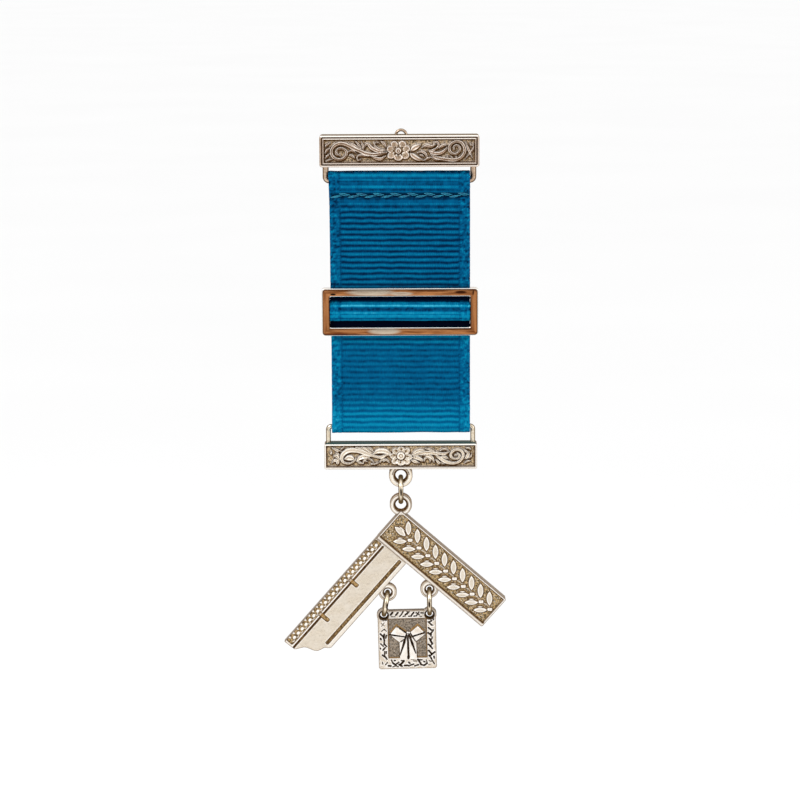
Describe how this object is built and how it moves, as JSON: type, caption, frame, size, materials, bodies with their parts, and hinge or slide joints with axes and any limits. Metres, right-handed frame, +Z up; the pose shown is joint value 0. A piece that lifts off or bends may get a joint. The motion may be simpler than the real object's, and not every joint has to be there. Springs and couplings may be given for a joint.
{
  "type": "masonic breast jewel",
  "caption": "Breast jewel with two ornamented bars joined by a blue ribbon and slide, and a try square with a tablet hanging on rings below.",
  "frame": {"origin": "middle of the pin wire behind the top bar, where the jewel is pinned on", "axes": "+Z up along the hanging ribbon, +X to the viewer's right along the bars, the decorated front faces -Y"},
  "size_m": [0.0512, 0.0083, 0.1255],
  "materials": {
    "top_bar_metal": "cast, gilt, rose tinted, dark in the hollows",
    "cast_metal": "cast, pale gilt, dark in the hollows",
    "slide_metal": "polished, coppery",
    "ring_wire": "polished wire",
    "pin_wire": "drawn wire",
    "ribbon_cloth": "ribbed silk ribbon, blue"
  },
  "bodies": {
    "mounting": {"top_bar": "top_bar_metal", "brooch_pin": "pin_wire", "ribbon": "ribbon_cloth", "ribbon_slide": "slide_metal", "bottom_bar": "cast_metal"},
    "ring": {"main_jump_ring": "ring_wire"},
    "drop": {"square": "cast_metal", "left_jump_ring": "ring_wire", "right_jump_ring": "ring_wire", "tablet": "cast_metal"}
  },
  "joints": [
    {"name": "swing_sideways", "type": "hinge", "parent": "mounting", "child": "ring", "pos_m": [0, -0.0039, -0.07447], "axis": [0, 1, 0], "range_deg": [-30, 30]},
    {"name": "swing_forward", "type": "hinge", "parent": "ring", "child": "drop", "pos_m": [0, -0.0039, -0.07784], "axis": [1, 0, 0], "range_deg": [-60, 60]}
  ]
}
